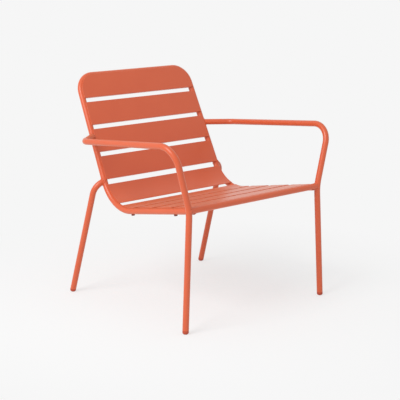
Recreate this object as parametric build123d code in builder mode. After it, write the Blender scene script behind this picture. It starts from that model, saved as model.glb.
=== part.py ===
from build123d import *
import os
from math import cos, degrees, radians, sin, tan

os.makedirs("parts", exist_ok=True)

# Driving sizes, in millimetres and degrees
# The chair faces -Y, the floor is Z = 0 and X = 0 halves the chair

# Round steel tube, used for every bent member
tube_diameter = 20.0
tube_wall = 1.5

# Slats of folded sheet, welded on the sitter's side of the tubes
sheet = 2.0
slat_width = 79.2
slat_gap = 15.6
back_slat_count = 4
seat_slat_count = 3
top_slat_width = 81.8
slat_end_overhang = 1.0
slat_edge_radius = 1.2
lip_depth = 7.0
lip_end_inset = 4.0
lip_corner_radius = 2.0

# Slats in and beside the bend between seat and back
slat_to_bend = 5.7
bend_gap = 18.2
bend_slat_width = 84.8
first_seat_slat_width = 66.2
front_slat_clearance = 4.4

# The front rail, and the long tube that runs up one side of seat and back, over the top and down the other side
rail_y = -306.6
rail_height = 381.6
rail_rise = 3.4
seat_rake = 9.8
back_recline = 25.2
seat_bend_radius = 133.0
seat_front_half = 264.5
back_top_half = 239.2
hoop_radius = 61.0

# Front legs, each one tube with the arm above it, set out from the knee beside the end of the rail
knee_relief = 1.7
knee_radius = 150.0
front_foot_out = 20.9
front_foot_ahead = 5.0
arm_front_out = 56.9
arm_front_behind = 3.0
arm_rise = 201.4
arm_front_radius = 60.0
arm_fall = 5.2
arm_toe_in = 1.4
arm_return = 66.0
arm_rear_radius = 38.0

# Rear legs, set out from their joints with the side tubes
rear_joint_above_bend = 3.0
rear_corner_out = 33.9
rear_corner_behind = 10.8
rear_corner_drop = 13.3
rear_bend_radius = 50.0
rear_leg_lean = 17.3
rear_leg_splay = 1.85

# Plastic glides pushed into the feet
glide_height = 12.0
glide_stem_length = 18.0
glide_floor_radius = 7.0

# Stacking bumpers pushed into the underside of the side tubes
bumper_spots = {"front": 90.0, "rear": 311.0}
bumper_diameter = 11.0
bumper_height = 4.5
bumper_stem_diameter = 5.0
bumper_stem_length = 5.0
bumper_rim_radius = 1.5

# Clearances
joint_gap = 0.3
plug_gap = 0.3

# Sizes that follow from those above

tube_radius = tube_diameter / 2
bore_radius = tube_radius - tube_wall
cope_radius = tube_radius + joint_gap
slat_pitch = slat_width + slat_gap
sides = {"left": -1, "right": 1}

rake = radians(seat_rake)
recline = radians(back_recline)
turn = radians(90 - back_recline + seat_rake)
seat_direction = Vector(0, cos(rake), -sin(rake))
seat_normal = Vector(0, sin(rake), cos(rake))
back_direction = Vector(0, sin(recline), cos(recline))
back_normal = Vector(0, -cos(recline), sin(recline))

# Angles down the bend, measured from its upper end, where each slat in it starts or stops
under_radius = seat_bend_radius - cope_radius
face_radius = under_radius - sheet
middle_radius = under_radius - sheet / 2
bend_slat_start = (bend_gap - slat_to_bend) / middle_radius
bend_slat_stop = bend_slat_start + bend_slat_width / middle_radius
first_seat_slat_start = bend_slat_stop + bend_gap / middle_radius
first_seat_slat_tail = first_seat_slat_width - (turn - first_seat_slat_start) * middle_radius

# The line of the long tube seen from the side
back_straight = top_slat_width - slat_end_overhang + (back_slat_count - 1) * slat_pitch + slat_to_bend
seat_straight = first_seat_slat_tail + seat_slat_count * slat_pitch + front_slat_clearance + tube_radius
bend_tangent = seat_bend_radius * tan(turn / 2)
seat_start = Vector(0, rail_y, rail_height - rail_rise)
bend_foot = seat_start + seat_direction * seat_straight
bend_centre = bend_foot + seat_normal * seat_bend_radius
bend_corner = bend_foot + seat_direction * bend_tangent
hoop_top = bend_corner + back_direction * (bend_tangent + back_straight)
taper = (seat_front_half - back_top_half) / (seat_straight + 2 * bend_tangent + back_straight)
knee_half = seat_front_half + tube_diameter + joint_gap - knee_relief
front_foot_half = knee_half + front_foot_out
front_foot_y = rail_y - front_foot_ahead

# The arm falls to its rear corner, a return ahead of the back, and its joint is level with that corner
arm_front_half = knee_half + arm_front_out
arm_front_y = rail_y + arm_front_behind
arm_front_height = rail_height + arm_rise
arm_slope = tan(radians(arm_fall))
arm_drop_at_hoop = (hoop_top.Y - arm_return - arm_front_y) * arm_slope
arm_joint_down = (hoop_top.Z - arm_front_height + arm_drop_at_hoop) / (back_direction.Z + back_direction.Y * arm_slope)
arm_joint = hoop_top - back_direction * arm_joint_down
arm_rear_y = arm_joint.Y - arm_return
arm_rear_half = arm_front_half - (arm_rear_y - arm_front_y) * tan(radians(arm_toe_in))


def back_half(down):
    """Half the spacing of the side tubes, at a distance down the back from the hoop."""
    return back_top_half + taper * down


def seat_half(behind):
    """Half the spacing of the side tubes, at a distance behind the front rail."""
    return seat_front_half - taper * behind


def on_side(point, half, side):
    """A point of the side view, moved out to one side of the chair."""
    return Vector(side * half, point.Y, point.Z)


def back_point(down):
    """The side tube's centre line in the side view, at a distance down the back."""
    return hoop_top - back_direction * down


def bend_angle(angle):
    """Direction in the YZ plane from the bend's centre to an angle down the bend, in degrees."""
    return -back_recline - degrees(angle)


corner_half = back_half(back_straight + bend_tangent)
shell_route = [
    on_side(seat_start, seat_front_half, -1),
    on_side(bend_corner, corner_half, -1),
    on_side(hoop_top, back_top_half, -1),
    on_side(hoop_top, back_top_half, 1),
    on_side(bend_corner, corner_half, 1),
    on_side(seat_start, seat_front_half, 1),
]
shell_bends = [seat_bend_radius, hoop_radius, hoop_radius, seat_bend_radius]
arm_bends = [knee_radius, arm_front_radius, arm_rear_radius]


def along_leg(foot, direction, height):
    """The point on a leg's centre line at a height above the floor."""
    return foot + direction * (height / direction.Z)


def front_leg_direction(side):
    """Direction of a front leg's centre line, upward from the floor."""
    return Vector(side * (knee_half - front_foot_half), rail_y - front_foot_y, rail_height).normalized()


def rear_leg_direction(side):
    """Direction of a rear leg's centre line, upward from the floor."""
    return Vector(-side * tan(radians(rear_leg_splay)), -tan(radians(rear_leg_lean)), 1).normalized()


def front_foot(side):
    """Where a front leg's centre line meets the floor."""
    return Vector(side * front_foot_half, front_foot_y, 0)


def rear_joint(side):
    """Where a rear leg's centre line meets that of the side tube."""
    joint_down = back_straight - rear_joint_above_bend
    return on_side(back_point(joint_down), back_half(joint_down), side)


def rear_corner(side):
    """Where a rear leg turns in towards its joint."""
    return rear_joint(side) + Vector(side * rear_corner_out, rear_corner_behind, -rear_corner_drop)


def rear_foot(side):
    """Where a rear leg's centre line meets the floor."""
    corner = rear_corner(side)
    direction = rear_leg_direction(side)
    return corner - direction * (corner.Z / direction.Z)


def slat_end_plane(side):
    """Plane through the side tube at the arm's joint, its X running out from the slat's end."""
    slat_end = back_half(arm_joint_down) + slat_end_overhang + joint_gap
    return Plane(
        origin=on_side(arm_joint, slat_end, side),
        x_dir=(side, 0, 0),
        z_dir=back_normal,
    )


def arm_route(side):
    """Corners of the tube that is a front leg, an arm and its return to the back."""
    return [
        along_leg(front_foot(side), front_leg_direction(side), glide_height),
        Vector(side * knee_half, rail_y, rail_height),
        Vector(side * arm_front_half, arm_front_y, arm_front_height),
        Vector(side * arm_rear_half, arm_rear_y, arm_joint.Z),
        on_side(arm_joint, back_half(arm_joint_down), side),
    ]


def rear_leg_route(side):
    """Corners of a rear leg, from its foot to the side tube."""
    return [
        along_leg(rear_foot(side), rear_leg_direction(side), glide_height),
        rear_corner(side),
        rear_joint(side),
    ]


def bumper_plane(side, behind):
    """Plane on a side tube's centre line, facing straight down from the seat."""
    spot = on_side(seat_start + seat_direction * behind, seat_half(behind), side)
    return Plane(origin=spot, x_dir=(1, 0, 0), z_dir=-seat_normal)


def round_bar(route, bends, radius):
    """A solid round bar along a bent route, for shaping the tube ends that meet it."""
    with BuildPart() as bar:
        with BuildLine() as path:
            FilletPolyline(*route, radius=bends)
        with BuildSketch(Plane(path.line @ 0, z_dir=path.line % 0)):
            Circle(radius)
        sweep()
    return bar.part


def keep(part, name):
    """Labels a finished piece and writes it out."""
    part.label = name
    export_step(part, f"parts/{name}.step")


# Long seat and back tube, its front ends shaped to the front rail

with BuildPart() as shell_frame:
    with BuildLine() as shell_path:
        FilletPolyline(*shell_route, radius=shell_bends)
    with BuildSketch(Plane(shell_path.line @ 0, z_dir=shell_path.line % 0)):
        Circle(tube_radius)
        Circle(bore_radius, mode=Mode.SUBTRACT)
    sweep()
    with BuildSketch(Plane.YZ):
        with Locations((rail_y, rail_height)):
            Circle(cope_radius)
    extrude(amount=seat_front_half + tube_diameter, both=True, mode=Mode.SUBTRACT)
    for side in sides.values():
        for behind in bumper_spots.values():
            with BuildSketch(bumper_plane(side, behind)):
                Circle(bumper_stem_diameter / 2 + plug_gap)
            extrude(amount=tube_diameter, mode=Mode.SUBTRACT)
keep(shell_frame.part, "shell_frame")

# Arms with front legs, each shaped to the side tube and the slat's end at its rear end

shell_bar = round_bar(shell_route, shell_bends, cope_radius)
for side_name, side in sides.items():
    with BuildPart() as arm_tube:
        with BuildLine() as arm_path:
            FilletPolyline(*arm_route(side), radius=arm_bends)
        with BuildSketch(Plane(arm_path.line @ 0, z_dir=arm_path.line % 0)):
            Circle(tube_radius)
            Circle(bore_radius, mode=Mode.SUBTRACT)
        sweep()
        add(shell_bar, mode=Mode.SUBTRACT)
        with BuildSketch(slat_end_plane(side)):
            Rectangle(tube_diameter, 2 * tube_diameter, align=(Align.MAX, Align.CENTER))
        extrude(amount=2 * tube_diameter, mode=Mode.SUBTRACT)
    keep(arm_tube.part, f"{side_name}_arm_and_front_leg")

# Rear legs, shaped to the side tube at their upper ends

for side_name, side in sides.items():
    with BuildPart() as rear_leg:
        with BuildLine() as rear_path:
            FilletPolyline(*rear_leg_route(side), radius=[rear_bend_radius])
        with BuildSketch(Plane(rear_path.line @ 0, z_dir=rear_path.line % 0)):
            Circle(tube_radius)
            Circle(bore_radius, mode=Mode.SUBTRACT)
        sweep()
        add(shell_bar, mode=Mode.SUBTRACT)
    keep(rear_leg.part, f"{side_name}_rear_leg")

# Front rail between the two front legs

with BuildPart() as front_rail:
    with BuildSketch(Plane.YZ):
        with Locations((rail_y, rail_height)):
            Circle(tube_radius)
            Circle(bore_radius, mode=Mode.SUBTRACT)
    extrude(amount=knee_half + knee_relief, both=True)
    for side in sides.values():
        add(round_bar(arm_route(side), arm_bends, cope_radius), mode=Mode.SUBTRACT)
keep(front_rail.part, "front_rail")


def folded_lip(slat_plane, edge, reach, half):
    """A lip folded down from a slat's underside along one of its straight edges.

    The edge is named by its sign along the Y of the slat's plane and lies that
    reach from the plane's origin. The lip is notched round the side tubes, whose
    half spacing there is given, and ends an inset short of their centre lines.
    """
    fold = Plane(
        origin=slat_plane.origin + slat_plane.y_dir * (edge * reach),
        x_dir=(-edge, 0, 0),
        z_dir=slat_plane.y_dir * -edge,
    )
    with BuildPart() as lip:
        with BuildSketch(fold) as outline:
            Rectangle(2 * (half - lip_end_inset), lip_depth, align=(Align.CENTER, Align.MIN))
            with Locations((-half, cope_radius), (half, cope_radius)):
                Circle(cope_radius, mode=Mode.SUBTRACT)
            fillet(outline.vertices().group_by(Axis.Y)[-1], radius=lip_corner_radius)
        extrude(amount=sheet)
    return lip.part


def flat_slat(middle, half, width, corner_radius, lipped_edges):
    """A flat slat on a plane through the middle of its underside.

    The plane's Y runs up the back or to the rear of the seat, which is the
    slat's narrower end. The folded lips run along the edges named by their
    sign in that direction.
    """
    upper_half = half - taper * width / 2 + slat_end_overhang
    lower_half = half + taper * width / 2 + slat_end_overhang
    with BuildPart() as slat:
        with BuildSketch(middle) as outline:
            with BuildLine():
                Polyline(
                    (-upper_half, width / 2),
                    (upper_half, width / 2),
                    (lower_half, -width / 2),
                    (-lower_half, -width / 2),
                    close=True,
                )
            make_face()
            if corner_radius:
                fillet(outline.vertices().group_by(Axis.Y)[-1], radius=corner_radius)
        extrude(amount=sheet)
        top_face = slat.faces().sort_by(Axis(middle.origin, middle.z_dir))[-1]
        fillet(top_face.edges(), radius=slat_edge_radius)
        for edge in lipped_edges:
            add(folded_lip(middle, edge, width / 2, half - edge * taper * width / 2))
    return slat.part


# Flat slats of the back, counted down from the hoop

for index in range(back_slat_count):
    is_top = index == 0
    width = top_slat_width if is_top else slat_width
    stop = top_slat_width - slat_end_overhang + index * slat_pitch
    down = stop - width / 2
    middle = Plane(
        origin=back_point(down) + back_normal * cope_radius,
        x_dir=(1, 0, 0),
        z_dir=back_normal,
    )
    slat = flat_slat(
        middle,
        back_half(down),
        width,
        hoop_radius + slat_end_overhang if is_top else 0,
        (-1,) if is_top else (-1, 1),
    )
    keep(slat, f"back_slat_{index + 1}")

# Curved slat in the bend between seat and back

bend_middle = (bend_slat_start + bend_slat_stop) / 2
bend_start_half = back_half(back_straight)
bend_stop_half = seat_half(seat_straight)
bend_middle_half = bend_start_half + (bend_stop_half - bend_start_half) * bend_middle / turn
bend_facing = radians(bend_angle(bend_middle))
bend_outward = Vector(0, cos(bend_facing), sin(bend_facing))
with BuildPart() as bend_slat:
    with BuildSketch(Plane.YZ) as bend_section:
        with BuildLine():
            under = CenterArc(
                (bend_centre.Y, bend_centre.Z),
                under_radius,
                bend_angle(bend_slat_stop),
                degrees(bend_slat_stop - bend_slat_start),
            )
            face = CenterArc(
                (bend_centre.Y, bend_centre.Z),
                face_radius,
                bend_angle(bend_slat_stop),
                degrees(bend_slat_stop - bend_slat_start),
            )
            Line(under @ 0, face @ 0)
            Line(under @ 1, face @ 1)
        make_face()
        for end in (face @ 0, face @ 1):
            fillet(bend_section.vertices().sort_by_distance(end)[0], radius=slat_edge_radius)
    extrude(amount=seat_front_half, both=True)
    bend_face = Plane(bend_centre + bend_outward * middle_radius, x_dir=(1, 0, 0), z_dir=-bend_outward)
    with BuildSketch(bend_face):
        with BuildLine():
            upper_half = bend_middle_half - taper * bend_slat_width + slat_end_overhang
            lower_half = bend_middle_half + taper * bend_slat_width + slat_end_overhang
            Polyline(
                (-upper_half, bend_slat_width),
                (upper_half, bend_slat_width),
                (lower_half, -bend_slat_width),
                (-lower_half, -bend_slat_width),
                close=True,
            )
        make_face()
    extrude(amount=seat_bend_radius / 2, both=True, mode=Mode.INTERSECT)
keep(bend_slat.part, f"back_slat_{back_slat_count + 1}")

# First slat of the seat, which starts in the bend and ends flat

with BuildPart() as first_seat_slat:
    with BuildSketch(Plane.YZ) as first_seat_section:
        with BuildLine():
            under = CenterArc(
                (bend_centre.Y, bend_centre.Z),
                under_radius,
                bend_angle(turn),
                degrees(turn - first_seat_slat_start),
            )
            face = CenterArc(
                (bend_centre.Y, bend_centre.Z),
                face_radius,
                bend_angle(turn),
                degrees(turn - first_seat_slat_start),
            )
            tail = Vector(seat_direction.Y, seat_direction.Z) * -first_seat_slat_tail
            under_tail = Line(under @ 0, (under @ 0) + tail)
            face_tail = Line(face @ 0, (face @ 0) + tail)
            Line(under_tail @ 1, face_tail @ 1)
            Line(under @ 1, face @ 1)
        make_face()
        for end in (face_tail @ 1, face @ 1):
            fillet(first_seat_section.vertices().sort_by_distance(end)[0], radius=slat_edge_radius)
    extrude(amount=seat_front_half, both=True)
    tail_plane = Plane(bend_foot + seat_normal * cope_radius, x_dir=(1, 0, 0), z_dir=seat_normal)
    with BuildSketch(tail_plane):
        with BuildLine():
            rear_half = bend_stop_half - taper * first_seat_slat_width + slat_end_overhang
            fore_half = bend_stop_half + taper * first_seat_slat_width + slat_end_overhang
            Polyline(
                (-rear_half, first_seat_slat_width),
                (rear_half, first_seat_slat_width),
                (fore_half, -first_seat_slat_width),
                (-fore_half, -first_seat_slat_width),
                close=True,
            )
        make_face()
    extrude(amount=seat_bend_radius / 2, both=True, mode=Mode.INTERSECT)
    add(folded_lip(tail_plane, -1, first_seat_slat_tail, bend_stop_half + taper * first_seat_slat_tail))
keep(first_seat_slat.part, "seat_slat_1")

# Flat slats of the seat, counted forward from the bend

for index in range(seat_slat_count):
    behind = tube_radius + front_slat_clearance + slat_width / 2 + (seat_slat_count - 1 - index) * slat_pitch
    middle = Plane(
        origin=seat_start + seat_direction * behind + seat_normal * cope_radius,
        x_dir=(1, 0, 0),
        z_dir=seat_normal,
    )
    slat = flat_slat(middle, seat_half(behind), slat_width, 0, (-1, 1))
    keep(slat, f"seat_slat_{index + 2}")


def foot_glide(foot, direction):
    """A glide whose stem fills the tube's end and whose head stands flat on the floor."""
    tube_end = Plane(along_leg(foot, direction, glide_height), z_dir=direction)
    with BuildPart() as glide:
        with BuildSketch(tube_end):
            Circle(tube_radius)
        extrude(amount=-2 * glide_height)
        split(bisect_by=Plane.XY, keep=Keep.TOP)
        floor_face = glide.faces().sort_by(Axis.Z)[0]
        fillet(floor_face.edges(), radius=glide_floor_radius)
        with BuildSketch(tube_end):
            Circle(bore_radius - plug_gap)
        extrude(amount=glide_stem_length)
    return glide.part


# Glides in the four feet

for side_name, side in sides.items():
    keep(foot_glide(front_foot(side), front_leg_direction(side)), f"{side_name}_front_glide")
    keep(foot_glide(rear_foot(side), rear_leg_direction(side)), f"{side_name}_rear_glide")


def bumper(side, behind):
    """A round bumper seated on the underside of a side tube, with its stem in the tube."""
    with BuildPart() as button:
        with BuildSketch(bumper_plane(side, behind)):
            Circle(bumper_diameter / 2)
        extrude(amount=tube_radius + bumper_height)
        end_face = button.faces().sort_by(Axis((0, 0, 0), seat_normal))[0]
        fillet(end_face.edges(), radius=bumper_rim_radius)
        add(shell_bar, mode=Mode.SUBTRACT)
        with BuildSketch(bumper_plane(side, behind).offset(tube_radius - bumper_stem_length)):
            Circle(bumper_stem_diameter / 2)
        extrude(amount=bumper_stem_length + bumper_height / 2)
    return button.part


# Bumpers under both side tubes

for side_name, side in sides.items():
    for spot_name, behind in bumper_spots.items():
        keep(bumper(side, behind), f"{side_name}_{spot_name}_bumper")
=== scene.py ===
import logging
import math
from dataclasses import dataclass, field
from enum import Enum
from typing import Any

import bmesh
import bpy
from mathutils import Matrix, Vector


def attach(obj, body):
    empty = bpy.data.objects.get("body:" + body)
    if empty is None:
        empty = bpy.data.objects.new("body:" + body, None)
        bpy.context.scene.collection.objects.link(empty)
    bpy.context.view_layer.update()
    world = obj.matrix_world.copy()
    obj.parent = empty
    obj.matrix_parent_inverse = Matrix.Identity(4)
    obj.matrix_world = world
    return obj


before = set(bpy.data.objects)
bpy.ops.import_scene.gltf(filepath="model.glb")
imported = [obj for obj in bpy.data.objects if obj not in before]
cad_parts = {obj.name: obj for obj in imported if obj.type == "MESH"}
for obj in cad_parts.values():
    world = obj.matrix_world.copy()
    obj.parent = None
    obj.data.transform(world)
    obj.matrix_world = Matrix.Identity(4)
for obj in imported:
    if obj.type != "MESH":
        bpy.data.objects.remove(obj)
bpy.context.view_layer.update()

Triple = tuple[float, float, float]

LOG = logging.getLogger("garden_lounge_chair")
MM = 0.001
# Points taken round a joint of two tubes
RING_STEPS = 180
# Share of the radius squared by which a line may miss a tube and still count as touching it
TOUCH_TOLERANCE = 0.01
# Keeps a division safe where two points of a line fall together, in millimetres
SHORTEST_LEG = 1e-9
# Direction of the right side tube down the back
BACK_TUBE_WAY = (0.0282, -0.4258, -0.9048)


class Side(Enum):
    """A side of the chair as seen from in front, with the sign of its X."""

    LEFT = -1
    RIGHT = 1


class Slot(Enum):
    """Material slots of the part's record."""

    COAT = "orange_powder_coat"
    FOOT = "orange_foot_plastic"
    BUMPER = "red_brown_rubber"


def linear(hex_colour: str) -> tuple[float, float, float, float]:
    """Turns an sRGB hex colour into the linear values that shaders take.

    Args:
        hex_colour: Colour as "#rrggbb".

    Returns:
        Linear red, green and blue with an alpha of one.
    """
    parts = [int(hex_colour[i : i + 2], 16) / 255 for i in (1, 3, 5)]
    red, green, blue = (
        c / 12.92 if c <= 0.04045 else ((c + 0.055) / 1.055) ** 2.4 for c in parts
    )
    return (red, green, blue, 1.0)


def add_node(
    tree: bpy.types.NodeTree,
    kind: str,
    settings: dict[str, Any] | None = None,
    inputs: dict[str | int, Any] | None = None,
) -> bpy.types.Node:
    """Adds a shader node, sets it up and links it.

    Args:
        tree: Node tree that gets the node.
        kind: Blender's type name of the node.
        settings: Attributes of the node by name.
        inputs: Values by input socket, where an output socket becomes a link.

    Returns:
        The new node.
    """
    node = tree.nodes.new(kind)
    for name, value in (settings or {}).items():
        setattr(node, name, value)
    for key, value in (inputs or {}).items():
        if isinstance(value, bpy.types.NodeSocket):
            tree.links.new(value, node.inputs[key])
        else:
            node.inputs[key].default_value = value
    return node


def empty_material(name: str) -> bpy.types.Material:
    """Makes a node material with nothing in it yet.

    Args:
        name: Name of the material.

    Returns:
        The material, with an empty node tree.
    """
    material = bpy.data.materials.new(name)
    material.use_nodes = True
    material.node_tree.nodes.clear()
    return material


def texture_scale(size_mm: float) -> float:
    """Noise scale, in cells per metre, of a pattern with features of that size."""
    return 1.0 / (size_mm * MM)


@dataclass(frozen=True)
class PowderCoat:
    """Polyester powder coat on steel tube and sheet, sprayed dry and baked."""

    # The baked film flows into a satin skin with a faint orange peel. It looks a little
    # lighter where it is thick and a little redder where it is thin.
    name: str = "powder_coated_steel_orange"
    thick_film: str = "#cf5b34"
    thin_film: str = "#c9542e"
    film_patch_mm: float = 90.0
    film_detail: float = 3.0
    roughness_low: float = 0.3
    roughness_high: float = 0.36
    # The real peel is about 2 mm across, under a pixel here, so it is drawn at twice that
    peel_mm: float = 4.0
    peel_detail: float = 1.0
    peel_depth_mm: float = 0.006
    ior: float = 1.5
    # Weathered polyester carries a faint warm haze that shows at low angles
    haze: float = 0.2
    haze_roughness: float = 0.5
    haze_tint: str = "#ffd8b0"

    def material(self) -> bpy.types.Material:
        """Builds the node material of the coat.

        Returns:
            The material.
        """
        material = empty_material(self.name)
        tree = material.node_tree
        place = add_node(tree, "ShaderNodeTexCoord")
        film = add_node(
            tree,
            "ShaderNodeTexNoise",
            inputs={
                "Vector": place.outputs["Object"],
                "Scale": texture_scale(self.film_patch_mm),
                "Detail": self.film_detail,
            },
        )
        colour = add_node(
            tree,
            "ShaderNodeMix",
            {"data_type": "RGBA"},
            {
                "Factor": film.outputs["Fac"],
                "A": linear(self.thin_film),
                "B": linear(self.thick_film),
            },
        )
        peel = add_node(
            tree,
            "ShaderNodeTexNoise",
            inputs={
                "Vector": place.outputs["Object"],
                "Scale": texture_scale(self.peel_mm),
                "Detail": self.peel_detail,
            },
        )
        gloss = add_node(
            tree,
            "ShaderNodeMapRange",
            inputs={
                "Value": peel.outputs["Fac"],
                "To Min": self.roughness_low,
                "To Max": self.roughness_high,
            },
        )
        relief = add_node(
            tree,
            "ShaderNodeBump",
            inputs={"Distance": self.peel_depth_mm * MM, "Height": peel.outputs["Fac"]},
        )
        coat = add_node(
            tree,
            "ShaderNodeBsdfPrincipled",
            inputs={
                "Base Color": colour.outputs["Result"],
                "Roughness": gloss.outputs["Result"],
                "Normal": relief.outputs["Normal"],
                "IOR": self.ior,
                "Sheen Weight": self.haze,
                "Sheen Roughness": self.haze_roughness,
                "Sheen Tint": linear(self.haze_tint),
            },
        )
        add_node(tree, "ShaderNodeOutputMaterial", inputs={"Surface": coat.outputs["BSDF"]})
        return material


@dataclass(frozen=True)
class MouldedPlastic:
    """Polyethylene foot glide, injection moulded in the chair's colour."""

    # The mould's spark finish leaves a dull, finely grained skin that scatters the light,
    # so it looks a shade flatter and darker than the coat.
    name: str = "moulded_polyethylene_orange"
    colour: str = "#bb4a2a"
    scuffed: str = "#a63f24"
    roughness: float = 0.55
    # The real grain is about 0.2 mm, drawn coarser so that it shows
    grain_mm: float = 1.5
    grain_detail: float = 2.0
    grain_depth_mm: float = 0.06
    grain_strength: float = 0.3
    ior: float = 1.51

    def material(self) -> bpy.types.Material:
        """Builds the node material of the glides.

        Returns:
            The material.
        """
        material = empty_material(self.name)
        tree = material.node_tree
        place = add_node(tree, "ShaderNodeTexCoord")
        grain = add_node(
            tree,
            "ShaderNodeTexNoise",
            inputs={
                "Vector": place.outputs["Object"],
                "Scale": texture_scale(self.grain_mm),
                "Detail": self.grain_detail,
            },
        )
        colour = add_node(
            tree,
            "ShaderNodeMix",
            {"data_type": "RGBA"},
            {
                "Factor": grain.outputs["Fac"],
                "A": linear(self.scuffed),
                "B": linear(self.colour),
            },
        )
        relief = add_node(
            tree,
            "ShaderNodeBump",
            inputs={
                "Strength": self.grain_strength,
                "Distance": self.grain_depth_mm * MM,
                "Height": grain.outputs["Fac"],
            },
        )
        plastic = add_node(
            tree,
            "ShaderNodeBsdfPrincipled",
            inputs={
                "Base Color": colour.outputs["Result"],
                "Roughness": self.roughness,
                "Normal": relief.outputs["Normal"],
                "IOR": self.ior,
            },
        )
        add_node(tree, "ShaderNodeOutputMaterial", inputs={"Surface": plastic.outputs["BSDF"]})
        return material


@dataclass(frozen=True)
class MouldedRubber:
    """Filled rubber of the stacking bumpers, compression moulded."""

    # Dull and dark to the eye, with a dusty bloom in patches. The dark red-brown is partly
    # painted shade: it is the darkness the bumpers show in the shadow under the side tubes.
    name: str = "moulded_rubber_red_brown"
    # Dark red-brown that carries painted shade from under the side tubes
    colour: str = "#6a2a20"
    bloom: str = "#7b3a2d"
    bloom_mm: float = 3.0
    bloom_detail: float = 3.0
    roughness: float = 0.75
    ior: float = 1.52

    def material(self) -> bpy.types.Material:
        """Builds the node material of the bumpers.

        Returns:
            The material.
        """
        material = empty_material(self.name)
        tree = material.node_tree
        place = add_node(tree, "ShaderNodeTexCoord")
        patch = add_node(
            tree,
            "ShaderNodeTexNoise",
            inputs={
                "Vector": place.outputs["Object"],
                "Scale": texture_scale(self.bloom_mm),
                "Detail": self.bloom_detail,
            },
        )
        colour = add_node(
            tree,
            "ShaderNodeMix",
            {"data_type": "RGBA"},
            {
                "Factor": patch.outputs["Fac"],
                "A": linear(self.colour),
                "B": linear(self.bloom),
            },
        )
        rubber = add_node(
            tree,
            "ShaderNodeBsdfPrincipled",
            inputs={
                "Base Color": colour.outputs["Result"],
                "Roughness": self.roughness,
                "IOR": self.ior,
            },
        )
        add_node(tree, "ShaderNodeOutputMaterial", inputs={"Surface": rubber.outputs["BSDF"]})
        return material


def dress_node(node: str, material: bpy.types.Material) -> None:
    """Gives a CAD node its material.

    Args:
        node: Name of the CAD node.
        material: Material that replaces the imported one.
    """
    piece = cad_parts[node]
    piece.data.materials.clear()
    piece.data.materials.append(material)
    LOG.info("dressed %s in %s", node, material.name)


def mesh_piece(
    name: str, mesh: bpy.types.Mesh, material: bpy.types.Material
) -> None:
    """Makes a smooth piece of the chair, which goes with the frame, from a mesh.

    Args:
        name: Name of the piece.
        mesh: Mesh in metres, in the chair's frame.
        material: Material of the piece.
    """
    for face in mesh.polygons:
        face.use_smooth = True
    mesh.materials.append(material)
    piece = bpy.data.objects.new(name, mesh)
    bpy.context.scene.collection.objects.link(piece)
    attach(piece, "root")
    LOG.info("built %s with %d faces", name, len(mesh.polygons))


@dataclass(frozen=True)
class SideTubeLine:
    """Centre line of a side of the long tube, from the hoop down the back and on to the rail."""

    hoop_y: float = 311.647
    hoop_z: float = 733.416
    recline_deg: float = 25.2
    rake_deg: float = 9.8
    bend_radius: float = 133.0
    back_straight: float = 370.9
    seat_straight: float = 322.045
    top_half: float = 239.2
    front_half: float = 264.5

    @property
    def turn(self) -> float:
        """Angle between back and seat that the bend turns through."""
        return math.radians(90.0 - self.recline_deg + self.rake_deg)

    def bent(self, down: float) -> float:
        """Length of the bend that lies above a place at a distance from the hoop."""
        return min(max(down - self.back_straight, 0.0), self.turn * self.bend_radius)

    def half(self, down: float) -> float:
        """Finds half the spacing of the two side lines.

        Args:
            down: Distance along the line from the hoop, in millimetres.

        Returns:
            Distance of the line from the middle of the chair.
        """
        corner = 2.0 * self.bend_radius * math.tan(self.turn / 2.0)
        unbent = self.back_straight + corner + self.seat_straight
        taper = (self.front_half - self.top_half) / unbent
        stretch = corner / (self.turn * self.bend_radius) - 1.0
        return self.top_half + taper * (down + self.bent(down) * stretch)

    def at(self, down: float, side: Side) -> tuple[Vector, Vector, Vector]:
        """Finds a place on the line.

        Args:
            down: Distance along the line from the hoop, in millimetres.
            side: Side of the chair.

        Returns:
            The point, the direction of the line and the direction towards the sitter.
        """
        start = math.radians(self.recline_deg)
        angle = start + self.bent(down) / self.bend_radius
        back_way = Vector((0.0, -math.sin(start), -math.cos(start)))
        along = Vector((0.0, -math.sin(angle), -math.cos(angle)))
        back_facing = Vector((0.0, -math.cos(start), math.sin(start)))
        facing = Vector((0.0, -math.cos(angle), math.sin(angle)))
        point = Vector((0.0, self.hoop_y, self.hoop_z))
        point += back_way * min(down, self.back_straight)
        point += (back_facing - facing) * self.bend_radius
        point += along * max(down - self.back_straight - self.turn * self.bend_radius, 0.0)
        point.x = side.value * self.half(down)
        along.x = side.value * (self.half(down + 1.0) - self.half(down))
        return point, along.normalized(), facing


def longest_run(ring: list[Vector | None]) -> tuple[list[Vector], bool]:
    """Finds the longest unbroken stretch in a ring of points.

    Args:
        ring: Points in order, with None where the line is broken.

    Returns:
        The stretch, and whether it is the whole ring.
    """
    if None not in ring:
        return list(ring), True
    first = ring.index(None)
    runs: list[list[Vector]] = [[]]
    for point in ring[first:] + ring[:first]:
        if point is None:
            runs.append([])
        else:
            runs[-1].append(point)
    return max(runs, key=len), False


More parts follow.
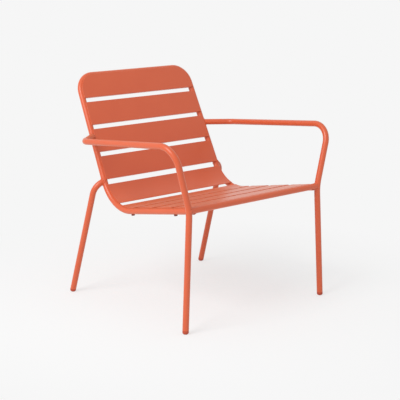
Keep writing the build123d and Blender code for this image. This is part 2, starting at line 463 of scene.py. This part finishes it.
def saddle(
    branch: Vector, branch_way: Vector, main_point: Vector, main_way: Vector, radius: float
) -> list[Vector | None]:
    """Line where the end of one round tube meets the wall of another of the same size.

    Args:
        branch: A point on the centre line of the tube that ends.
        branch_way: Direction of that line, away from the joint.
        main_point: A point on the centre line of the tube that goes on.
        main_way: Direction of that line.
        radius: Outer radius of both tubes.

    Returns:
        Points round the joint, with None where the end passes the other tube.
    """
    branch_way, main_way = branch_way.normalized(), main_way.normalized()
    across = branch_way.cross(main_way).normalized()
    rise = across.cross(branch_way)
    tilt = branch_way.dot(main_way)
    ring: list[Vector | None] = []
    for step in range(RING_STEPS):
        angle = math.tau * step / RING_STEPS
        spoke = across * math.cos(angle) + rise * math.sin(angle)
        start = branch - main_point + spoke * radius
        # A line along the branch's wall meets the other wall at a root of a quadratic
        a = 1.0 - tilt * tilt
        b = start.dot(branch_way) - start.dot(main_way) * tilt
        c = start.dot(start) - start.dot(main_way) ** 2 - radius * radius
        root = b * b - a * c
        if root > -TOUCH_TOLERANCE * radius * radius:
            reach = (math.sqrt(max(root, 0.0)) - b) / a
            ring.append(main_point + start + branch_way * reach)
        else:
            ring.append(None)
    return ring


@dataclass(frozen=True)
class WeldBead:
    """A bead of filler metal laid by hand in short steps, which leave a row of ripples."""

    radius: float = 2.0
    ripple_length: float = 1.5
    ripple_height: float = 0.18
    least_ripples: int = 2
    steps_per_ripple: int = 4
    sides: int = 10
    # Share of the radius at which an open bead starts and stops
    end_share: float = 0.35

    def resampled(self, line: list[Vector], closed: bool) -> list[Vector]:
        """Points along a line, a whole number of ripples long and evenly spaced.

        Args:
            line: Points of the line, in millimetres.
            closed: Whether the last point joins the first.

        Returns:
            The new points.
        """
        path = line + line[:1] if closed else line
        reach = [0.0]
        for here, there in zip(path, path[1:]):
            reach.append(reach[-1] + (there - here).length)
        ripples = max(round(reach[-1] / self.ripple_length), self.least_ripples)
        count = ripples * self.steps_per_ripple
        points, leg = [], 0
        for step in range(count if closed else count + 1):
            want = reach[-1] * step / count
            while leg < len(path) - 2 and reach[leg + 1] < want:
                leg += 1
            share = (want - reach[leg]) / max(reach[leg + 1] - reach[leg], SHORTEST_LEG)
            points.append(path[leg].lerp(path[leg + 1], share))
        return points

    def thickness(self, step: int, count: int, closed: bool) -> float:
        """Radius of the bead at one of its points.

        Args:
            step: Number of the point.
            count: Number of points in the bead.
            closed: Whether the bead runs all the way round a joint.

        Returns:
            The radius with its ripple, smaller near the ends of an open bead.
        """
        phase = step / self.steps_per_ripple % 1.0
        # A ripple is an arch that starts half its height below the bead's radius
        radius = self.radius + self.ripple_height * (4.0 * phase * (1.0 - phase) - 0.5)
        if closed:
            return radius
        from_end = min(step, count - 1 - step) / self.steps_per_ripple
        return radius * min(1.0, self.end_share + (1.0 - self.end_share) * from_end)

    def lay(self, solid: bmesh.types.BMesh, line: list[Vector], closed: bool) -> None:
        """Adds one bead to a mesh.

        Args:
            solid: Mesh that gets the bead, in metres.
            line: Points of the bead's centre line, in millimetres.
            closed: Whether the bead runs all the way round a joint.
        """
        points = self.resampled(line, closed)
        count = len(points)
        centre = sum(points, Vector()) / count
        normal = (points[1] - points[0]).orthogonal().normalized()
        turns = [math.tau * side / self.sides for side in range(self.sides)]
        rings = []
        for step, point in enumerate(points):
            ahead = points[(step + 1) % count] if closed or step + 1 < count else point
            behind = points[step - 1] if closed or step else point
            tangent = (ahead - behind).normalized()
            normal = point - centre if closed else normal
            normal = (normal - tangent * normal.dot(tangent)).normalized()
            binormal = tangent.cross(normal)
            radius = self.thickness(step, count, closed)
            spokes = [normal * math.cos(turn) + binormal * math.sin(turn) for turn in turns]
            rings.append([solid.verts.new((point + spoke * radius) * MM) for spoke in spokes])
        for near, far in zip(rings, rings[1:] + rings[:1] if closed else rings[1:]):
            for side in range(self.sides):
                after = (side + 1) % self.sides
                solid.faces.new((near[side], near[after], far[after], far[side]))
        if not closed:
            solid.faces.new(rings[0][::-1])
            solid.faces.new(rings[-1])

    def piece(
        self, name: str, lines: list[list[Vector]], closed: bool, coat: bpy.types.Material
    ) -> None:
        """Makes one piece of the chair from some beads.

        Args:
            name: Name of the piece.
            lines: Points of each bead's centre line, in millimetres.
            closed: Whether the beads run all the way round a joint.
            coat: Powder coat material, which covers the welds too.
        """
        solid = bmesh.new()
        for line in lines:
            self.lay(solid, line, closed)
        bmesh.ops.recalc_face_normals(solid, faces=solid.faces)
        mesh = bpy.data.meshes.new(name)
        solid.to_mesh(mesh)
        solid.free()
        mesh_piece(name, mesh, coat)


@dataclass(frozen=True)
class TubeJoint:
    """A welded joint of two tubes, given for the right side of the chair, in millimetres."""

    name: str
    branch: Triple
    branch_way: Triple
    main_point: Triple
    main_way: Triple

    def ring(self, side: Side, radius: float) -> list[Vector | None]:
        """Line round the joint on one side of the chair.

        Args:
            side: Side of the chair.
            radius: Outer radius of the tubes.

        Returns:
            Points round the joint, with None where there is nothing to weld.
        """
        given = (self.branch, self.branch_way, self.main_point, self.main_way)
        return saddle(*(Vector((side.value * x, y, z)) for x, y, z in given), radius)


@dataclass
class JointWelds:
    """The weld beads round the joints of the tubes."""

    bead: WeldBead = field(default_factory=WeldBead)
    tube_radius: float = 10.0
    # A slat ends on the side tube beside one joint, and the bead there keeps off it
    slat_joint: str = "arm_weld"
    slat_facing: Triple = (0.0, -0.9048, 0.4258)
    slat_end: float = 2.5
    slat_under: float = 6.5
    joints: tuple[TubeJoint, ...] = (
        TubeJoint(
            name="arm_weld",
            branch=(245.2, 221.218, 541.244),
            branch_way=(83.587, -66.0, 0.0),
            main_point=(245.2, 221.218, 541.244),
            main_way=BACK_TUBE_WAY,
        ),
        TubeJoint(
            name="rear_leg_weld",
            branch=(249.593, 155.003, 400.53),
            branch_way=(33.9, 10.8, -13.3),
            main_point=(249.593, 155.003, 400.53),
            main_way=BACK_TUBE_WAY,
        ),
        TubeJoint(
            name="rail_weld",
            branch=(250.0, -306.6, 381.6),
            branch_way=(-1.0, 0.0, 0.0),
            main_point=(284.8, -306.6, 381.6),
            main_way=(0.11, 0.0139, 0.9938),
        ),
        TubeJoint(
            name="side_tube_weld",
            branch=(264.5, -306.6, 378.2),
            branch_way=(-0.0282, 0.985, -0.1702),
            main_point=(264.5, -306.6, 381.6),
            main_way=(1.0, 0.0, 0.0),
        ),
    )

    def clear_of_slat(self, point: Vector | None, joint: TubeJoint, side: Side) -> bool:
        """Tells whether a point of a bead keeps off the slat that ends beside the joint.

        Args:
            point: Point of the bead, if there is one.
            joint: Joint that the bead runs round.
            side: Side of the chair.

        Returns:
            True where the bead can be laid.
        """
        if point is None:
            return False
        if joint.name != self.slat_joint:
            return True
        place = point - Vector((side.value * joint.main_point[0], *joint.main_point[1:]))
        under = place.dot(Vector(self.slat_facing)) < self.slat_under
        return under or place.x * side.value > self.slat_end

    def build(self, coat: bpy.types.Material) -> None:
        """Lays a bead round every joint.

        Args:
            coat: Powder coat material, which covers the welds too.
        """
        for joint in self.joints:
            for side in Side:
                ring = joint.ring(side, self.tube_radius)
                open_ring = [p if self.clear_of_slat(p, joint, side) else None for p in ring]
                line, closed = longest_run(open_ring)
                self.bead.piece(f"{side.name.lower()}_{joint.name}", [line], closed, coat)


@dataclass
class SlatWelds:
    """The short stitch welds in the corner between a slat's underside and the tube below it."""

    bead: WeldBead = field(default_factory=lambda: WeldBead(radius=2.2, sides=8))
    line: SideTubeLine = field(default_factory=SideTubeLine)
    stitch: float = 24.0
    stitch_legs: int = 8
    inset: float = 20.0
    inboard: float = 8.67
    above: float = 8.3
    top_slat: str = "back_slat_1"
    top_slat_stop: float = 80.8
    hoop_stitches: tuple[float, ...] = (-120.0, 0.0, 120.0)
    # Where each other slat starts and stops, measured down the side tube from the hoop
    spans: tuple[tuple[str, float, float], ...] = (
        ("back_slat_2", 96.4, 175.6),
        ("back_slat_3", 191.2, 270.4),
        ("back_slat_4", 286.0, 365.2),
        ("back_slat_5", 384.56, 477.23),
        ("seat_slat_1", 497.12, 567.31),
        ("seat_slat_2", 582.91, 662.11),
        ("seat_slat_3", 677.71, 756.91),
        ("seat_slat_4", 772.51, 851.71),
    )

    def stitch_line(self, middle: float, side: Side) -> list[Vector]:
        """Centre line of one stitch along the inner flank of a side tube.

        Args:
            middle: Distance of its middle down the tube from the hoop.
            side: Side of the chair.

        Returns:
            Points of the stitch, in millimetres.
        """
        inwards = Vector((side.value * self.inboard, 0.0, 0.0))
        points = []
        for step in range(self.stitch_legs + 1):
            down = middle + self.stitch * (step / self.stitch_legs - 0.5)
            point, _, facing = self.line.at(down, side)
            points.append(point + facing * self.above - inwards)
        return points

    def hoop_line(self, middle: float) -> list[Vector]:
        """Centre line of one stitch along the lower flank of the hoop's top.

        Args:
            middle: Distance of its middle from the middle of the chair.

        Returns:
            The two ends of the stitch, in millimetres.
        """
        point, along, facing = self.line.at(0.0, Side.RIGHT)
        along.x = 0.0
        start = point + facing * self.above + along.normalized() * self.inboard
        ends = (middle - self.stitch / 2.0, middle + self.stitch / 2.0)
        return [Vector((end, start.y, start.z)) for end in ends]

    def side_lines(self, *middles: float) -> list[list[Vector]]:
        """Centre lines of the stitches at those places, on both side tubes."""
        return [self.stitch_line(middle, side) for side in Side for middle in middles]

    def build(self, coat: bpy.types.Material) -> None:
        """Lays the stitches of every slat.

        Args:
            coat: Powder coat material, which covers the welds too.
        """
        top_lines = [self.hoop_line(middle) for middle in self.hoop_stitches]
        top_lines += self.side_lines(self.top_slat_stop - self.inset)
        self.bead.piece(f"{self.top_slat}_welds", top_lines, False, coat)
        for name, start, stop in self.spans:
            lines = self.side_lines(stop - self.inset, start + self.inset)
            self.bead.piece(f"{name}_welds", lines, False, coat)


@dataclass
class TubeFrame:
    """The welded frame of bent tube: long seat and back tube, rail, arms and legs."""

    finish: PowderCoat = field(default_factory=PowderCoat)
    nodes: tuple[str, ...] = (
        "shell_frame",
        "front_rail",
        "left_arm_and_front_leg",
        "right_arm_and_front_leg",
        "left_rear_leg",
        "right_rear_leg",
    )

    def dress(self, coat: bpy.types.Material) -> None:
        """Coats every tube.

        Args:
            coat: Powder coat material.
        """
        for node in self.nodes:
            dress_node(node, coat)


@dataclass
class SlatSet:
    """The sheet slats of back and seat."""

    nodes: tuple[str, ...] = (
        "back_slat_1",
        "back_slat_2",
        "back_slat_3",
        "back_slat_4",
        "back_slat_5",
        "seat_slat_1",
        "seat_slat_2",
        "seat_slat_3",
        "seat_slat_4",
    )

    def dress(self, coat: bpy.types.Material) -> None:
        """Coats every slat.

        Args:
            coat: Powder coat material.
        """
        for node in self.nodes:
            dress_node(node, coat)


@dataclass
class FootGlides:
    """The plastic glides in the four feet."""

    finish: MouldedPlastic = field(default_factory=MouldedPlastic)
    nodes: tuple[str, ...] = (
        "left_front_glide",
        "right_front_glide",
        "left_rear_glide",
        "right_rear_glide",
    )

    def dress(self) -> None:
        """Gives the glides their moulded plastic."""
        plastic = self.finish.material()
        for node in self.nodes:
            dress_node(node, plastic)


@dataclass
class StackingBumpers:
    """The rubber bumpers under the side tubes."""

    finish: MouldedRubber = field(default_factory=MouldedRubber)
    nodes: tuple[str, ...] = (
        "left_front_bumper",
        "right_front_bumper",
        "left_rear_bumper",
        "right_rear_bumper",
    )

    def dress(self) -> None:
        """Gives the bumpers their moulded rubber."""
        rubber = self.finish.material()
        for node in self.nodes:
            dress_node(node, rubber)


@dataclass(frozen=True)
class Softbox:
    """A square diffused studio lamp aimed at the chair, in metres and watts."""

    name: str
    place: Triple
    edge: float
    watts: float
    aim: Triple = (0.0, 0.0, 0.42)
    colour: str = "#ffffff"

    def build(self) -> None:
        """Makes the lamp."""
        lamp = bpy.data.lights.new(self.name, "AREA")
        lamp.shape = "SQUARE"
        lamp.size = self.edge
        lamp.energy = self.watts
        lamp.color = linear(self.colour)[:3]
        body = bpy.data.objects.new(self.name, lamp)
        body.location = self.place
        ahead = Vector(self.aim) - Vector(self.place)
        body.rotation_euler = ahead.to_track_quat("-Z", "Y").to_euler()
        bpy.context.scene.collection.objects.link(body)


def showing_rays(tree: bpy.types.NodeTree) -> bpy.types.NodeSocket:
    """Tells the rays that show the studio from those that only light the chair.

    Args:
        tree: Node tree that gets the nodes.

    Returns:
        Socket that is one for rays of the camera, of reflections and through glass.
    """
    rays = add_node(tree, "ShaderNodeLightPath")
    plain_or_mirrored = add_node(
        tree,
        "ShaderNodeMath",
        {"operation": "MAXIMUM"},
        {0: rays.outputs["Is Camera Ray"], 1: rays.outputs["Is Glossy Ray"]},
    )
    showing = add_node(
        tree,
        "ShaderNodeMath",
        {"operation": "MAXIMUM"},
        {0: plain_or_mirrored.outputs["Value"], 1: rays.outputs["Is Transmission Ray"]},
    )
    return showing.outputs["Value"]


@dataclass
class Studio:
    """Plain pale floor and soft light."""

    paper: str = "#f6f6f6"
    paper_strength: float = 1.0
    floor_edge: float = 120.0
    # Share of the shadow that shows beside the chair, and where it fades out, in metres
    shadow_share: float = 0.4
    shadow_fade_from: float = 0.3
    shadow_fade_to: float = 1.1
    ambient: float = 0.75
    lamps: tuple[Softbox, ...] = (
        Softbox("key_softbox", (-3.916, -0.439, 3.498), edge=2.6, watts=163.0),
    )

    def floor_material(self) -> bpy.types.Material:
        """Builds seamless paper that shows its own pale colour and a soft shadow near the chair.

        Returns:
            The material.
        """
        material = empty_material("seamless_paper")
        tree = material.node_tree
        place = add_node(tree, "ShaderNodeTexCoord")
        distance = add_node(
            tree,
            "ShaderNodeVectorMath",
            {"operation": "LENGTH"},
            {0: place.outputs["Object"]},
        )
        share = add_node(
            tree,
            "ShaderNodeMapRange",
            inputs={
                "Value": distance.outputs["Value"],
                "From Min": self.shadow_fade_from,
                "From Max": self.shadow_fade_to,
                "To Min": 1.0 - self.shadow_share,
                "To Max": 1.0,
            },
        )
        factor = add_node(
            tree,
            "ShaderNodeMath",
            {"operation": "MULTIPLY"},
            {0: share.outputs["Result"], 1: showing_rays(tree)},
        )
        paper = add_node(tree, "ShaderNodeBsdfDiffuse", inputs={"Color": linear(self.paper)})
        glow = add_node(
            tree,
            "ShaderNodeEmission",
            inputs={"Color": linear(self.paper), "Strength": self.paper_strength},
        )
        mixed = add_node(
            tree,
            "ShaderNodeMixShader",
            inputs={
                "Fac": factor.outputs["Value"],
                1: paper.outputs["BSDF"],
                2: glow.outputs["Emission"],
            },
        )
        add_node(tree, "ShaderNodeOutputMaterial", inputs={"Surface": mixed.outputs["Shader"]})
        return material

    def build(self) -> None:
        """Makes the floor, the lamps and the surrounding light."""
        mesh = bpy.data.meshes.new("studio_floor")
        half = self.floor_edge / 2
        corners = [(-half, -half, 0.0), (half, -half, 0.0), (half, half, 0.0), (-half, half, 0.0)]
        mesh.from_pydata(corners, [], [(0, 1, 2, 3)])
        mesh.materials.append(self.floor_material())
        floor = bpy.data.objects.new("studio_floor", mesh)
        bpy.context.scene.collection.objects.link(floor)
        for lamp in self.lamps:
            lamp.build()
        self.surround()
        LOG.info("built the studio with %d softboxes", len(self.lamps))

    def surround(self) -> None:
        """Lights the chair from all round and shows the paper's colour behind it."""
        world = bpy.data.worlds.new("studio_surround")
        bpy.context.scene.world = world
        world.use_nodes = True
        tree = world.node_tree
        tree.nodes.clear()
        light = add_node(
            tree,
            "ShaderNodeBackground",
            inputs={"Color": linear(self.paper), "Strength": self.ambient},
        )
        backdrop = add_node(
            tree,
            "ShaderNodeBackground",
            inputs={"Color": linear(self.paper), "Strength": self.paper_strength},
        )
        mixed = add_node(
            tree,
            "ShaderNodeMixShader",
            inputs={
                "Fac": showing_rays(tree),
                1: light.outputs["Background"],
                2: backdrop.outputs["Background"],
            },
        )
        add_node(tree, "ShaderNodeOutputWorld", inputs={"Surface": mixed.outputs["Shader"]})


@dataclass(frozen=True)
class PhotoCamera:
    """Camera at the photograph's viewing angle, in front of and to the left of the chair."""

    place_mm: Triple = (-2477.6, -2795.8, 1147.6)
    azimuth_deg: float = -41.953
    pitch_deg: float = 12.427
    lens_mm: float = 102.19
    sensor_mm: float = 36.0
    # Far enough for the whole floor, in metres
    clip_end: float = 200.0

    def build(self) -> None:
        """Makes the camera and hands it to the scene."""
        azimuth, pitch = math.radians(self.azimuth_deg), math.radians(self.pitch_deg)
        level = math.cos(pitch)
        ahead = Vector((-math.sin(azimuth) * level, math.cos(azimuth) * level, -math.sin(pitch)))
        right = Vector((math.cos(azimuth), math.sin(azimuth), 0.0))
        up = right.cross(ahead)
        lens = bpy.data.cameras.new("photo_camera")
        lens.sensor_fit = "HORIZONTAL"
        lens.sensor_width = self.sensor_mm
        lens.lens = self.lens_mm
        lens.clip_end = self.clip_end
        camera = bpy.data.objects.new("photo_camera", lens)
        turn = Matrix((right, up, -ahead)).transposed().to_4x4()
        camera.matrix_world = Matrix.Translation(Vector(self.place_mm) * MM) @ turn
        bpy.context.scene.collection.objects.link(camera)
        bpy.context.scene.camera = camera


def main() -> None:
    """Dresses the chair, sets up the studio and places the camera."""
    logging.basicConfig(level=logging.INFO, format="%(name)s: %(message)s")
    tubes = TubeFrame()
    coat = tubes.finish.material()
    tubes.dress(coat)
    JointWelds().build(coat)
    SlatSet().dress(coat)
    SlatWelds().build(coat)
    FootGlides().dress()
    StackingBumpers().dress()
    Studio().build()
    PhotoCamera().build()
    bpy.context.scene.view_settings.view_transform = "Standard"


if __name__ == "__main__":
    main()
